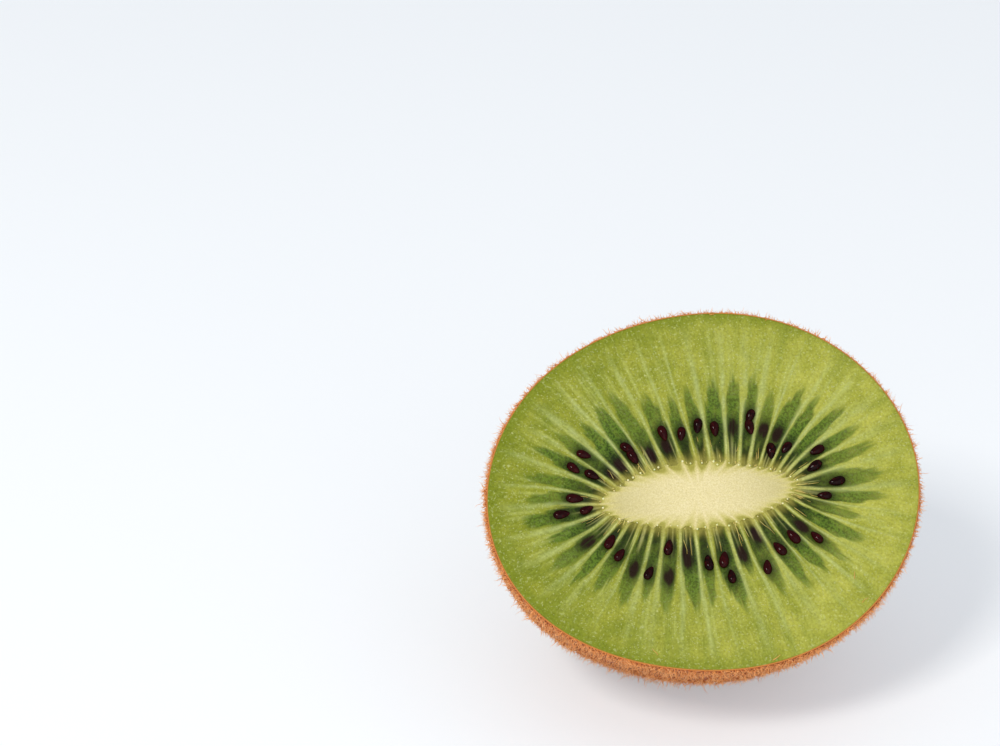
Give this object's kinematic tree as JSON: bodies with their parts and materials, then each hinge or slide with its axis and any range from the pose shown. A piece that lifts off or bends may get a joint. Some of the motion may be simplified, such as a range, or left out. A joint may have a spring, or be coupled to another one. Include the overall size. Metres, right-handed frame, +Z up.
{
  "type": "kiwi fruit half",
  "caption": "Half of a green kiwi fruit, cut across its middle, lying on its furry rounded side with the cut facing forward and up.",
  "frame": {"origin": "on the surface that the half lies on, under the middle of its box", "axes": "+Z up, the cut faces towards -Y and up, X runs along the cut's long way to within 9 degrees"},
  "size_m": [0.051, 0.0428, 0.0411],
  "materials": {
    "flesh": "moist green fruit flesh, cut smooth",
    "core": "cream coloured core, finely grained",
    "seed": "smooth dark seed coat, wet",
    "skin": "thin brown skin, dry and matt",
    "hair": "short stiff brown hairs",
    "dried_end": "dried flower remains at the blossom end, dark and brittle"
  },
  "bodies": {
    "root": {"kiwi_half": "flesh"}
  },
  "joints": []
}
